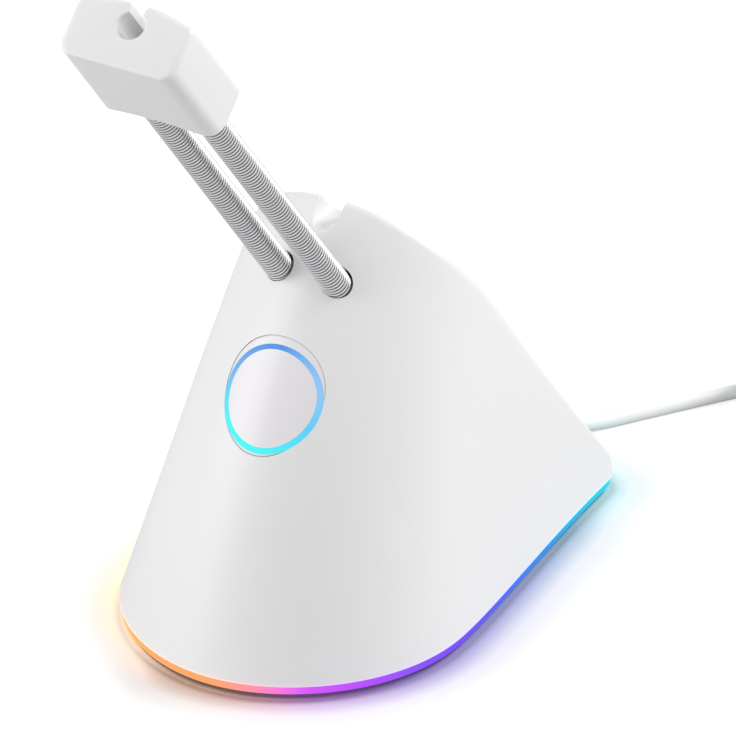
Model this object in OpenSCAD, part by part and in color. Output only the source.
// Mouse bungee with a lit base: a leaning hollow body, two close-wound springs as the arm, a clip head
// for the mouse's cable, a weighted base with a light strip, and the bungee's own cable.
// Units are millimetres. The origin is the middle of the foot's underside on the table, the front is -Y,
// the rear is +Y and Z is up. The arm has its own frame: u is X, t runs up the arm, g is square to both.

/* [Body outline] */
// Overall width of the body at the base
body_w = 70; // [50:1:100]
// Overall length of the body at the base
body_l = 109.4; // [80:0.2:150]
// Width at the rear corners
rear_w = 59.8; // [40:0.2:70]
// How far forward of the middle the body is widest
widest_y = 17.1; // [0:0.1:30]
// Half width of the flat part of the nose curve
nose_flat = 16.7; // [8:0.1:30]
// Length of the nose curve's pull at the side
nose_pull = 22.6; // [8:0.1:35]
// Radius of the two rear corners
rear_r = 6; // [2:0.5:10]

/* [Body height] */
// Height of the shell's lower edge above the table
edge_z = 3.2; // [2:0.1:8]
// Height of the crest used for the level curves
crest_h = 80; // [50:1:120]
// How far the front wall leans back from the base to the crest
lean_back = 46.6; // [20:0.2:70]
// Share of the lean that is straight, the rest grows towards the top
lean_share = 0.665; // [0.3:0.005:1]
// Share of the width lost at the crest
waist_share = 0.352; // [0:0.002:0.6]
// Share of the length lost at the crest
shorten_share = 0.086; // [0:0.002:0.3]
// Height of the back slope over the point where it is measured
back_h = 81.2; // [50:0.2:120]
// Where the back slope's height is measured
back_y = -5; // [-20:0.5:20]
// Fall of the back slope for each millimetre to the rear
back_fall = 1.344; // [0.6:0.002:2.5]
// Rounding between the wall and the back slope
crest_round = 3; // [1:0.25:6]
// Wall thickness of the shell
wall = 2.4; // [1.6:0.1:4]
// Depth of the hollow's flat roof below the crest's edge
roof_deep = 10.3; // [6:0.1:20]
// Width of the rest notch across the crest
notch_w = 7.2; // [4:0.1:12]
// Depth of the notch's floor below the crest's edge
notch_deep = 5.8; // [2:0.1:9]

/* [Arm] */
// Angle that the arm leans forward from upright
arm_lean = 39; // [10:1:60]
// How far below the crest's edge the arm's middle line leaves the front wall
arm_drop = 11.603; // [6:0.001:20]
// How far behind the wall's surface that point lies
arm_in = 0.038; // [0:0.001:1]
// Distance between the two springs' middle lines
spring_gap = 12.4; // [8:0.1:20]
// Outside diameter of a spring
spring_d = 5.8; // [3:0.1:10]
// Diameter of the spring wire and so the pitch of its turns
wire_d = 1.07; // [0.5:0.01:2]
// Distance of the springs' upper ends from the front wall
spring_top = 95; // [50:0.5:140]
// Distance of the springs' lower ends below the front wall
spring_sunk = 26.9; // [10:0.1:40]

/* [Head] */
// Distance of the head's front face from the front wall
head_far = 112.3; // [80:0.1:160]
// Width of the head
head_w = 25.2; // [15:0.2:40]
// Depth of the head below the springs' line
head_under = 6.6; // [4:0.1:10]
// Height of the head's ridge above the springs' line
head_over = 6.7; // [4:0.1:12]
// Length of the head's underside
head_len = 25; // [15:0.2:40]
// Diameter of the channel that holds the mouse's cable
channel_d = 5.8; // [3:0.1:8]
// Height of the channel's middle above the springs' line
channel_g = 3; // [0:0.1:6]
// Width of the slot where it meets the channel
slot_w = 4.4; // [2:0.1:6]
// Width of the slot at its lips
slot_lip_w = 5; // [2:0.1:8]

/* [Badge] */
// Distance of the badge's middle below the arm's foot
badge_drop = 20.3; // [16:0.1:30]
// Radius of the badge lens
lens_r = 10.4; // [8:0.1:13]
// Outside radius of the lit ring
ring_r = 10; // [7:0.1:12]
// Width of the lit ring
ring_band = 1.5; // [0.8:0.1:3]
// How far the ring's inner edge is shifted up, so that the band is widest below
ring_shift = 0.4; // [0:0.05:1]

/* [Base] */
// Thickness of the rubber foot
foot_t = 1.2; // [0.8:0.1:3]
// Height of the light strip that shows
strip_t = 1.8; // [1:0.1:4]
// Thickness of the steel ballast plate
ballast_t = 4; // [2:0.5:8]
// Distance of the ballast plate's edge inside the body's edge
ballast_inset = 10; // [8:0.5:20]

/* [Cable] */
// Diameter of the bungee's own cable
cable_d = 2.7; // [2:0.1:5]
// Number of turns in each layer of the stored coil
layer_turns = 4; // [3:1:6]
// Number of full layers in the stored coil
coil_layers = 3; // [2:1:5]
// Radius of the coil's innermost turn
coil_in_r = 10.8; // [8:0.1:20]

/* [Hidden] */
gap = 0.05;
fit_gap = 0.2;
$fn = 32;
front_y = -body_l / 2;
rear_y = body_l / 2;
n_nose = 16;
n_side = 6;
n_corner = 4;
n_half = n_nose + n_side + n_corner;
n_ring = 2 * n_half + 1;
side_pull = 14;
rear_pull = 24;
rear_bulge = 0.9;
back_angle = atan(back_fall);
screw_r = 1.2;
screw_head_r = 2.3;
screw_head_t = 1.6;

// The outline: half from the nose to the middle of the rear, then mirrored.
function bez(p, t) = pow(1 - t, 3) * p[0] + 3 * pow(1 - t, 2) * t * p[1]
    + 3 * (1 - t) * t * t * p[2] + pow(t, 3) * p[3];
corner_y = rear_y - rear_r;
nose_curve = [[0, front_y], [nose_flat, front_y], [body_w / 2, -widest_y - nose_pull], [body_w / 2, -widest_y]];
side_curve = [[body_w / 2, -widest_y], [body_w / 2, side_pull - widest_y],
    [rear_w / 2 + rear_bulge, corner_y - rear_pull], [rear_w / 2, corner_y]];
half_edge = concat(
    [for (k = [0:n_nose]) bez(nose_curve, k / n_nose)],
    [for (k = [1:n_side]) bez(side_curve, k / n_side)],
    [for (k = [1:n_corner]) let (a = 90 * k / n_corner)
        [rear_w / 2 - rear_r + rear_r * cos(a), corner_y + rear_r * sin(a)]]);
edge = concat(half_edge, [for (k = [n_half:-1:1]) [-half_edge[k][0], half_edge[k][1]]]);
function next(i) = (i + 1) % n_ring;
function prev(i) = (i + n_ring - 1) % n_ring;
function unit(v) = v / norm(v);
edge_out = [for (i = [0:n_ring - 1]) let (d = unit(edge[next(i)] - edge[prev(i)])) [d[1], -d[0]]];

// The wall: each level curve is the outline, narrower, shorter and further back the higher it is.
function shrink(z) = 1.511 * z - 0.511 * z * z;
function wall_at(i, h, inset) =
    let (z = h / crest_h, p = edge[i] - inset * edge_out[i])
    [p[0] - edge[i][0] * waist_share * shrink(z),
     front_y + lean_back * (lean_share * z + (1 - lean_share) * pow(z, 3))
        + (p[1] - front_y) - (edge[i][1] - front_y) * shorten_share * shrink(z), h];
function back_at(y, drop) = back_h - drop - back_fall * (y - back_y);
rear_solid = 7.2;
back_drop = wall / cos(back_angle);
function inner_at(i, h) = let (p = wall_at(i, h, wall))
    [p[0], p[1] - (rear_solid - wall) * pow((p[1] - front_y) / body_l, 2), h];
function meet(i, lo, hi, inner, n) = n == 0 ? (lo + hi) / 2 :
    let (m = (lo + hi) / 2, y = inner ? inner_at(i, m)[1] : wall_at(i, m, 0)[1])
    back_at(y, inner ? back_drop : 0) > m ? meet(i, m, hi, inner, n - 1) : meet(i, lo, m, inner, n - 1);
seek_top = 90;
seek_steps = 30;
edge_h = [for (i = [0:n_ring - 1]) meet(i, 0, seek_top, false, seek_steps)];
// What is set by the crest: the hollow's roof, the notch, the arm's foot on the front wall and the badge
crest_edge = edge_h[0];
hollow_h = crest_edge - roof_deep;
notch_h = crest_edge - notch_deep;
arm_z = edge_z + crest_edge - arm_drop;
arm_y = wall_at(0, arm_z - edge_z, 0)[1] + arm_in;
badge_z = arm_z - badge_drop;
round_h = [for (h = edge_h) min(crest_round, h / 2)];
inner_h = [for (i = [0:n_ring - 1]) min(hollow_h, meet(i, 0, seek_top, true, seek_steps))];

// The rounded edge between the wall and the back slope, one curve for each outline point.
edge_pts = [for (i = [0:n_ring - 1]) let (p = wall_at(i, edge_h[i], 0)) [p[0], p[1] / cos(back_angle)]];
slope_pts = [for (i = [0:n_ring - 1])
    let (d = unit(edge_pts[next(i)] - edge_pts[prev(i)]),
         q = edge_pts[i] - round_h[i] * [d[1], -d[0]],
         y = q[1] * cos(back_angle))
    [q[0], y, back_at(y, 0)]];
function round_at(i, t) =
    let (e = wall_at(i, edge_h[i], 0))
    pow(1 - t, 2) * wall_at(i, edge_h[i] - round_h[i], 0) + 2 * (1 - t) * t * [e[0], e[1], edge_h[i]]
        + t * t * slope_pts[i];
n_wall = 10;
n_round = 4;
n_inner = 5;
function level(i, j) = wall_at(i, (edge_h[i] - round_h[i]) * j / n_wall, 0);

// Faces between stacked rings of points, and across a ring that is its own mirror image.
function sides(r0, r1, n, flip) = [for (r = [r0:r1 - 1], i = [0:n - 1])
    let (j = (i + 1) % n, a = r * n + i, b = r * n + j, c = (r + 1) * n + j, d = (r + 1) * n + i)
    each flip ? [[a, c, d], [a, b, c]] : [[a, d, c], [a, c, b]]];
function across(r, n, flip) = let (o = r * n) concat(
    [flip ? [o, o + 1, o + n - 1] : [o, o + n - 1, o + 1]],
    [for (i = [1:(n - 1) / 2 - 1]) let (a = o + i, b = o + i + 1, c = o + n - i - 1, d = o + n - i)
        each flip ? [[a, b, c], [a, c, d]] : [[a, c, b], [a, d, c]]]);

module skin() {
    n_out = n_wall + n_round;
    n_in = n_out + 1 + n_inner;
    points = concat(
        [for (j = [0:n_wall], i = [0:n_ring - 1]) level(i, j)],
        [for (j = [1:n_round], i = [0:n_ring - 1]) round_at(i, j / n_round)],
        [for (j = [0:n_inner], i = [0:n_ring - 1]) inner_at(i, inner_h[i] * j / n_inner)]);
    rim = [for (i = [0:n_ring - 1]) let (j = next(i), o = (n_out + 1) * n_ring)
        each [[i, j, o + j], [i, o + j, o + i]]];
    translate([0, 0, edge_z])
        polyhedron(points, concat(sides(0, n_out, n_ring, false), across(n_out, n_ring, false),
            rim, sides(n_out + 1, n_in, n_ring, true), across(n_in, n_ring, true)), convexity = 6);
}

// A block behind the front wall's own surface, for the badge pieces that follow it.
module wall_patch(depth) {
    k = 9;
    n = 2 * k + 1;
    front = [for (j = [0:n_wall], i = [-k:k]) level((i + n_ring) % n_ring, j)];
    m = len(front);
    points = concat(front, [for (p = front) p + [0, depth, 0]]);
    function cell(a, b, c, d) = [[a, d, c], [a, c, b]];
    faces = concat(
        [for (j = [0:n_wall - 1], i = [0:n - 2]) let (a = j * n + i) each cell(a, a + 1, a + n + 1, a + n)],
        [for (j = [0:n_wall - 1], i = [0:n - 2]) let (a = m + j * n + i)
            each [[a, a + n + 1, a + n], [a, a + 1, a + n + 1]]],
        [for (i = [0:n - 2]) each [[i, i + 1, m + i + 1], [i, m + i + 1, m + i]]],
        [for (i = [0:n - 2]) let (a = n_wall * n + i) each [[a, m + a + 1, a + 1], [a, m + a, m + a + 1]]],
        [for (j = [0:n_wall - 1]) let (a = j * n) each [[a, m + a + n, a + n], [a, m + a, m + a + n]]],
        [for (j = [0:n_wall - 1]) let (a = j * n + n - 1) each [[a, a + n, m + a + n], [a, m + a + n, m + a]]]);
    translate([0, 0, edge_z]) polyhedron(points, faces, convexity = 4);
}

// Frames and repeated shapes.
module on_arm() translate([0, arm_y, arm_z]) rotate([arm_lean, 0, 0]) children();
module both() { children(); mirror([1, 0, 0]) children(); }
badge_h = badge_z - edge_z;
badge_y = wall_at(0, badge_h, 0)[1];
lens_tilt = 4;
ring_tilt = 17;
module on_badge(tilt) translate([0, badge_y, badge_z]) rotate([90 - tilt, 0, 0]) children();
module plate(z0, z1, inset) translate([0, 0, z0]) linear_extrude(z1 - z0) offset(delta = -inset) polygon(edge);
module tube(r_out, r_in, h) difference() {
    cylinder(r = r_out, h = h);
    translate([0, 0, -gap]) cylinder(r = r_in, h = h + 2 * gap);
}

// Shell.
post_r = 3.2;
post_front_in = 13;
post_front_back = 37.7;
post_rear_in = 11.5;
post_rear_front = 18.7;
post_front = [body_w / 2 - post_front_in, front_y + post_front_back];
post_rear = [rear_w / 2 - post_rear_in, rear_y - post_rear_front];
post_front_z = 18;
post_rear_drop = 0.87;
post_rear_z = edge_z + back_at(post_rear[1], back_drop) - post_rear_drop;
post_hole_z = 15;
plate_top = edge_z;
rib_t = 1.6;
rib_z = 6.5;
rib_low_in = 2.8;
rib_high_in = 4.4;
rib_low = post_front_in - rib_low_in;
rib_high = post_front_in - rib_high_in;
boss_rib_low = 14;
boss_rib_high = 10.5;
boss_rib_share = 0.254;
boss_u = 13;
boss_r = 2.6;
boss_deep = 8;
boss_top = -boss_deep;
holder_deep = 7;
holder_top = -holder_deep;
holder_len = 20;
holder_base = -holder_deep - holder_len;
ear_t = 3;
hole_r = spring_d / 2 + 0.35;
hole_deep = 14;
hole_high = 9;
gland_x = 6.4;
gland_z = 7;
gland_r = 2.6;
notch_len = 30;
badge_cut = 18;
badge_cut_in = 14;
hole_rim = 0.9;

module housing_shell() color("white") {
    difference() {
        union() {
            skin();
            both() {
                translate([post_front[0], post_front[1], plate_top + gap])
                    cylinder(r = post_r, h = post_front_z - plate_top);
                translate([post_front[0], post_front[1] + rib_t / 2, 0]) rotate([90, 0, 0])
                    linear_extrude(rib_t) polygon([[0, rib_z], [rib_low, rib_z], [rib_high, post_front_z], [0, post_front_z]]);
                translate([post_rear[0], post_rear[1], plate_top + gap])
                    cylinder(r = post_r, h = post_rear_z - plate_top);
                on_arm() translate([boss_u, 0, holder_base + ear_t + gap])
                    cylinder(r = boss_r, h = boss_top - holder_base - ear_t);
                on_arm() translate([boss_u, -rib_t / 2, -boss_rib_low])
                    cube([boss_rib_share * body_w - boss_u, rib_t, boss_rib_low - boss_rib_high]);
            }
        }
        both() {
            for (p = [post_front, post_rear]) translate([p[0], p[1], 0]) cylinder(r = screw_r + gap, h = post_hole_z);
            on_arm() translate([boss_u, 0, holder_base]) cylinder(r = screw_r + gap, h = hole_deep);
            on_arm() translate([spring_gap / 2, 0, -hole_deep]) cylinder(r = hole_r, h = hole_deep + hole_high);
        }
        translate([0, notch_len / 2 + back_y, edge_z + notch_h + notch_w / 2]) rotate([90, 0, 0])
            cylinder(r = notch_w / 2, h = notch_len);
        translate([-notch_w / 2, back_y - notch_len / 2, edge_z + notch_h + notch_w / 2])
            cube([notch_w, notch_len, notch_w]);
        on_badge(lens_tilt) translate([0, 0, -badge_cut_in])
            cylinder(r = lens_r + fit_gap / 2, h = badge_cut + badge_cut_in);
        translate([gland_x, rear_y + rear_solid, gland_z]) rotate([90, 0, 0])
            cylinder(r = gland_r + gap, h = 3 * rear_solid);
    }
}

// Badge: a lens with a lit ring let into it, on a light cup with its own small board.
ring_deep = 1.2;
module ring_tube(extra) on_badge(ring_tilt) translate([0, 0, -badge_cut_in]) difference() {
    cylinder(r = ring_r + extra, h = badge_cut + badge_cut_in);
    translate([0, ring_shift, -gap]) cylinder(r = ring_r - ring_band - extra, h = badge_cut + badge_cut_in + 2 * gap);
}
module badge_lens() color("whitesmoke") difference() {
    intersection() {
        wall_patch(wall);
        on_badge(lens_tilt) translate([0, 0, -badge_cut_in]) cylinder(r = lens_r, h = badge_cut + badge_cut_in);
    }
    difference() {
        ring_tube(gap);
        translate([0, ring_deep + gap, 0]) wall_patch(badge_cut);
    }
}
module badge_ring() color("deepskyblue") intersection() {
    wall_patch(ring_deep);
    ring_tube(0);
}
cup_r = 10.2;
cup_t = 1;
cup_back = 11.5;
cup_front = 12;
board_t = 1.2;
led_w = 2.8;
led_t = 1;
module badge_cup() color("lightgrey") intersection() {
    translate([0, wall + fit_gap, 0]) wall_patch(badge_cut + badge_cut_in);
    on_badge(0) translate([0, 0, -cup_back]) tube(cup_r, cup_r - cup_t, cup_back + cup_front);
}
module badge_board() color("darkgreen") on_badge(0) translate([0, 0, -cup_back - board_t - gap])
    cylinder(r = cup_r, h = board_t);
module badge_leds() color("lightyellow") on_badge(0) for (a = [0:72:288])
    rotate([0, 0, a]) translate([cup_r / 2 - led_w / 2, -led_w / 2, -cup_back]) cube([led_w, led_w, led_t]);

// Springs: turns wound close, drawn as one ribbed tube each.
turns = floor((spring_top + spring_sunk) / wire_d);
module spring(side) on_arm() translate([side * spring_gap / 2, 0, -spring_sunk]) rotate_extrude($fn = 20)
    polygon(concat([[spring_d / 2 - wire_d, 0]],
        [for (k = [0:turns - 1]) each [[spring_d / 2 - wire_d / 3, k * wire_d], [spring_d / 2, (k + 0.5) * wire_d]]],
        [[spring_d / 2 - wire_d / 3, turns * wire_d], [spring_d / 2 - wire_d, turns * wire_d]]));
module spring_left() color("silver") spring(-1);
module spring_right() color("silver") spring(1);

// Holder for the springs' lower ends, inside the shell.
holder_u = 9.8;
holder_g = 5;
ear_g = 4;
cap_t = 2;
spigot_r = 1.7;
spigot_h = 9;
module holder_half_ear(t0, t1) translate([0, -ear_g, t0]) cube([boss_u + ear_t, 2 * ear_g, t1 - t0]);
module spring_holder() color("dimgrey") on_arm() difference() {
    union() {
        translate([-holder_u, -holder_g, holder_base]) cube([2 * holder_u, 2 * holder_g, holder_top - holder_base]);
        both() holder_half_ear(holder_base, holder_base + ear_t);
    }
    both() {
        translate([spring_gap / 2, 0, holder_base - gap])
            cylinder(r = spring_d / 2 + fit_gap, h = holder_top - holder_base + 2 * gap);
        translate([boss_u, 0, holder_base - gap]) cylinder(r = screw_r + fit_gap, h = ear_t + 2 * gap);
    }
}
module spring_cap() color("grey") on_arm() difference() {
    union() {
        translate([-holder_u, -holder_g, holder_base - cap_t - gap]) cube([2 * holder_u, 2 * holder_g, cap_t]);
        both() {
            holder_half_ear(holder_base - cap_t - gap, holder_base - gap);
            translate([spring_gap / 2, 0, holder_base - cap_t / 2]) cylinder(r = spigot_r, h = spigot_h);
        }
    }
    both() translate([boss_u, 0, holder_base - 2 * cap_t]) cylinder(r = screw_r + fit_gap, h = 3 * cap_t);
}
module screw(length) {
    cylinder(r = screw_r, h = length);
    translate([0, 0, -screw_head_t]) difference() {
        cylinder(r = screw_head_r, h = screw_head_t + gap);
        translate([0, 0, -gap]) cylinder(r = screw_r / 2, h = screw_head_t / 2, $fn = 6);
    }
}
holder_screw_len = 14;
module holder_screws() color("darkgrey") on_arm() both()
    translate([boss_u, 0, holder_base - cap_t - 2 * gap]) screw(holder_screw_len);

// Head: a side profile crossed with an end profile, less the channel, its slot and the spring sockets.
head_near = head_far - head_len;
socket_deep = 12.4;
head_tail = 5.8;
head_start = head_near - head_tail;
head_side = [[head_near, -head_under - 1], [head_near, -head_under], [head_near - 3, -1.6], [head_near - 3.8, 4.8],
    [head_start, head_over + 0.5], [head_far, head_over + 0.5], [head_far, -head_under - 1]];
head_end = [[-head_w / 2 + 1.5, -head_under], [head_w / 2 - 1.5, -head_under], [head_w / 2, 1.9 - head_under],
    [head_w / 2, 3.4], [head_w / 2 - 0.9, 4.5], [slot_lip_w / 2 + 1, 6.3], [0, head_over],
    [-slot_lip_w / 2 - 1, 6.3], [-head_w / 2 + 0.9, 4.5], [-head_w / 2, 3.4], [-head_w / 2, 1.9 - head_under]];
module arm_head() color("white") on_arm() difference() {
    intersection() {
        translate([0, 0, head_start]) linear_extrude(head_far - head_start) polygon(head_end);
        translate([-head_w, 0, 0]) rotate([90, 0, 90]) linear_extrude(2 * head_w)
            polygon([for (p = head_side) [p[1], p[0]]]);
    }
    translate([0, channel_g, head_start - 1]) cylinder(d = channel_d, h = head_far - head_start + 2);
    translate([0, 0, head_start - 1]) linear_extrude(head_far - head_start + 2) polygon([[-slot_w / 2, channel_g],
        [slot_w / 2, channel_g], [slot_lip_w / 2, 2 * head_over], [-slot_lip_w / 2, 2 * head_over]]);
    both() translate([spring_gap / 2, 0, spring_top + 0.4 - 2 * socket_deep])
        cylinder(r = spring_d / 2 + fit_gap / 2, h = 2 * socket_deep);
}

// Base: foot, plate, light strip with its lip inside the shell, ballast, and the ring board with its lights.
foot_inset = 4.5;
plate_z = 0.5;
strip_z = edge_z - gap - strip_t;
flange_inset = 1;
strip_inset = 0.3;
lip_top = 4.4;
lip_inset = 3;
plate_inset = 4.2;
board_out = 4.6;
board_in = 8.6;
rear_clear = 1.3;
screw_seat = foot_t + screw_head_t / 2 + 2 * gap;
module holes(r, h) both() for (p = [post_front, post_rear]) translate([p[0], p[1], 0]) cylinder(r = r, h = h);
module base_plate() color("gainsboro") difference() {
    union() {
        plate(plate_z, strip_z - gap, flange_inset);
        plate(plate_z, plate_top, plate_inset);
    }
    plate(0, foot_t + gap, foot_inset - gap);
    holes(screw_r + fit_gap, 2 * plate_top);
    holes(screw_head_r + fit_gap, screw_seat + screw_head_t / 2);
}
module rubber_foot() color("black") plate(0, foot_t, foot_inset);
module light_ring() color("violet") difference() {
    union() {
        plate(strip_z, strip_z + strip_t, strip_inset);
        plate(strip_z, lip_top, lip_inset);
    }
    plate(0, 2 * lip_top, plate_inset - gap);
    translate([0, 0, strip_z + strip_t]) rear_room();
}
// The space that the shell's solid rear takes
module rear_room() translate([-body_w / 2, rear_y - rear_solid - rear_clear, 0]) cube([body_w, body_l, body_w]);
socket_size = [8, 6, 6];
socket_y = 36;
module ballast_plate() color("slategrey") difference() {
    plate(plate_top + gap, plate_top + gap + ballast_t, ballast_inset);
    holes(post_r + 0.8, 3 * ballast_t);
    translate([gland_x - socket_size[0], socket_y - 1, 0]) cube([2 * socket_size[0], body_l, 3 * ballast_t]);
}
ring_board_t = 1;
module led_board() color("darkgreen") difference() {
    plate(plate_top + gap, plate_top + gap + ring_board_t, board_out);
    plate(0, 2 * lip_top, board_in);
    for (i = board_marks) at_edge(i, 7) cylinder(r = 0.9, h = 2 * lip_top);
    rear_room();
    translate([0, 0, plate_top + gap]) cable_way();
}
board_marks = [6, 15, n_ring - 6, n_ring - 15];
led_marks = [0, 4, 8, 12, 17, 21, n_ring - 4, n_ring - 8, n_ring - 12, n_ring - 17, n_ring - 21];
module at_edge(i, inset) let (p = edge[i] - inset * edge_out[i])
    translate([p[0], p[1], 0]) rotate([0, 0, atan2(edge_out[i][1], edge_out[i][0])]) children();
module cable_way() translate([gland_x - gland_r - 1, corner_y - 2, 0]) cube([2 * gland_r + 2, rear_r + 2, 2 * gland_z]);
led_z = plate_top + ring_board_t + 2 * gap;
module base_leds() color("lightyellow") for (i = led_marks)
    at_edge(i, 6) translate([-led_t, -led_w / 2, led_z]) cube([2 * led_t, led_w, led_t]);
board_screw_len = 1.6;
module board_screws() color("darkgrey") for (i = board_marks) at_edge(i, 7) translate([0, 0, led_z])
    union() {
        cylinder(r = 1.5, h = led_t);
        translate([0, 0, -ring_board_t - gap / 2]) cylinder(r = 0.8, h = ring_board_t + led_t / 2);
    }
base_screw_len = 11;
module base_screws() color("darkgrey") both() for (p = [post_front, post_rear])
    translate([p[0], p[1], screw_seat + screw_head_t / 2 - gap]) screw(base_screw_len);

// The cable: out of the gland, down to the table, then towards the coil beyond the right-hand rear.
route = [[gland_x, 42.1, gland_z], [gland_x, 46, gland_z], [gland_x, 50, gland_z], [gland_x, 54, gland_z],
    [6.9, 57.7, 6.4], [8.5, 61.2, 4.8], [10.9, 64.4, 2.95], [13.6, 67.6, 1.75], [16.7, 71.6, 1.35],
    [20.6, 77, 1.35], [25.2, 83.4, 1.35], [29.8, 89.8, 1.35], [34.8, 96.7, 1.35], [37.8, 100.8, 1.35]];
coil_at = [61, 98.4];
coil_start = 144.3;
coil_lift = 0.7;
coil_out_r = coil_in_r + 3.5 * cable_d;
function smooth(a, b, x) = let (s = min(1, max(0, (x - a) / (b - a)))) s * s * (3 - 2 * s);
// A point of the route by Catmull-Rom through the listed points
function spot(p, k, t) = let (a = p[max(k - 1, 0)], b = p[k], c = p[k + 1], d = p[min(k + 2, len(p) - 1)])
    0.5 * (2 * b + (c - a) * t + (2 * a - 5 * b + 4 * c - d) * t * t + (3 * b - 3 * c + d - a) * t * t * t);
function curve(p, n) = concat([for (k = [0:len(p) - 2], j = [0:n - 1]) spot(p, k, j / n)], [p[len(p) - 1]]);
// A tube of n_tube sides along a line of points, with a radius for each point
n_tube = 8;
function heading(p, k) = unit(p[min(k + 1, len(p) - 1)] - p[max(k - 1, 0)]);
module sweep(p, r) {
    rings = [for (k = [0:len(p) - 1], a = [0:n_tube - 1])
        let (f = heading(p, k), s = unit(cross(f, [0, 0, 1])), w = cross(s, f), th = 360 * a / n_tube)
        p[k] + r[k] * (cos(th) * s + sin(th) * w)];
    last = (len(p) - 1) * n_tube;
    faces = concat([for (k = [0:len(p) - 2], a = [0:n_tube - 1])
        let (b = (a + 1) % n_tube, q = k * n_tube)
        each [[q + a, q + n_tube + b, q + n_tube + a], [q + a, q + b, q + n_tube + b]]],
        [[for (a = [n_tube - 1:-1:0]) a]], [[for (a = [0:n_tube - 1]) last + a]]);
    polyhedron(rings, faces, convexity = 6);
}
route_line = curve(route, 2);
module usb_cable() color("gainsboro") sweep(route_line, [for (p = route_line) cable_d / 2]);
boot_r = 2.6;
boot_tip_r = 1.75;
n_boot = 12;
boot_first = 3;
// The boot is hollow: an outer sweep less the cable's own sweep, a little wider
boot_line = [for (k = [boot_first:n_boot]) route_line[k]];
cable_hole = [for (k = [boot_first - 1:n_boot + 1]) route_line[k]];
module cable_gland() color("dimgrey") difference() {
    sweep(boot_line, [for (k = [0:len(boot_line) - 1]) boot_r - (boot_r - boot_tip_r)
        * smooth(3, len(boot_line) - 1, k)]);
    sweep(cable_hole, [for (p = cable_hole) cable_d / 2 + 0.12]);
}
module cable_socket() color("ivory") translate([gland_x - socket_size[0] / 2, socket_y, plate_top + gap]) cube(socket_size);

coil_top = coil_lift + (coil_layers + 1) * cable_d;
module cable_coil() color("gainsboro") translate([coil_at[0], coil_at[1], 0]) rotate_extrude()
    polygon([[coil_in_r, coil_lift], [coil_out_r, coil_lift], [coil_out_r + cable_d / 2, coil_lift + cable_d / 2],
        [coil_out_r + cable_d / 2, coil_top - cable_d / 2], [coil_out_r, coil_top], [coil_in_r, coil_top],
        [coil_in_r - cable_d / 2, coil_top - cable_d / 2], [coil_in_r - cable_d / 2, coil_lift + cable_d / 2]]);
tie_w = 4;
tie_t = 0.6;
tie_angle = 118;
module cable_tie() color("dimgrey") translate([coil_at[0], coil_at[1], 0]) rotate([0, 0, tie_angle])
    translate([0, tie_w / 2, 0]) rotate([90, 0, 0]) linear_extrude(tie_w) difference() {
        translate([coil_in_r - cable_d / 2 - 2 * tie_t, 0])
            square([coil_out_r - coil_in_r + cable_d + 4 * tie_t, coil_top + tie_t + gap]);
        translate([coil_in_r - cable_d / 2 - tie_t, tie_t])
            square([coil_out_r - coil_in_r + cable_d + 2 * tie_t, coil_top - tie_t + gap]);
    }
// The free end spirals off the top of the coil, down its outside and into the plug
tail_start = 13.55;
tail_end = 14.4;
tail_r = [23.2, 25.5];
plug_z = 4;
top_z = coil_lift + (coil_layers + 0.5) * cable_d;
function tail_at(s) = let (t = tail_start + (tail_end - tail_start) * s, a = coil_start - 360 * t,
    r = tail_r[0] + (tail_r[1] - tail_r[0]) * s)
    [coil_at[0] + r * cos(a), coil_at[1] + r * sin(a), top_z + (plug_z - top_z) * smooth(0, 0.9, s)];
n_tail = 24;
plug_start = coil_at[1] - 6;
tail_line = concat([for (k = [0:n_tail]) tail_at(k / n_tail)], [[coil_at[0] + tail_r[1], plug_start + gap, plug_z]]);
module cable_tail() color("gainsboro") sweep(tail_line, [for (p = tail_line) cable_d / 2]);
plug_w = 15.4;
plug_h = 8;
plug_len = 26;
shell_w = 12;
shell_h = 4.5;
shell_len = 12;
shell_t = 0.4;
shell_lap = 3;
module at_plug() translate([coil_at[0] + tail_r[1], plug_start, plug_z]) rotate([90, 0, 0]) children();
module block(w, h, l, z) translate([-w / 2, -h / 2, z]) cube([w, h, l]);
module plug_body() color("dimgrey") at_plug() difference() {
    union() {
        cylinder(r1 = boot_tip_r, r2 = boot_r, h = plug_len / 4);
        block(plug_w, plug_h, plug_len * 3 / 4, plug_len / 4);
    }
    block(shell_w + 2 * gap, shell_h + 2 * gap, plug_len, plug_len - shell_lap);
}
module plug_shell() color("silver") at_plug() difference() {
    block(shell_w, shell_h, shell_len + shell_lap - gap, plug_len - shell_lap + gap);
    block(shell_w - 2 * shell_t, shell_h - 2 * shell_t, shell_len + shell_lap, plug_len - shell_lap + shell_t);
}
tongue_h = shell_h / 3;
module plug_tongue() color("white") at_plug() translate([0, (shell_h - tongue_h) / 2 - shell_t - gap, 0])
    block(shell_w - 2 * shell_t - fit_gap, tongue_h, shell_len, plug_len - shell_lap + shell_t + gap);

housing_shell();
badge_lens();
badge_ring();
badge_cup();
badge_board();
badge_leds();
spring_left();
spring_right();
spring_holder();
spring_cap();
holder_screws();
arm_head();
light_ring();
base_plate();
rubber_foot();
ballast_plate();
led_board();
base_leds();
board_screws();
base_screws();
cable_gland();
cable_socket();
usb_cable();
cable_coil();
cable_tie();
cable_tail();
plug_body();
plug_shell();
plug_tongue();
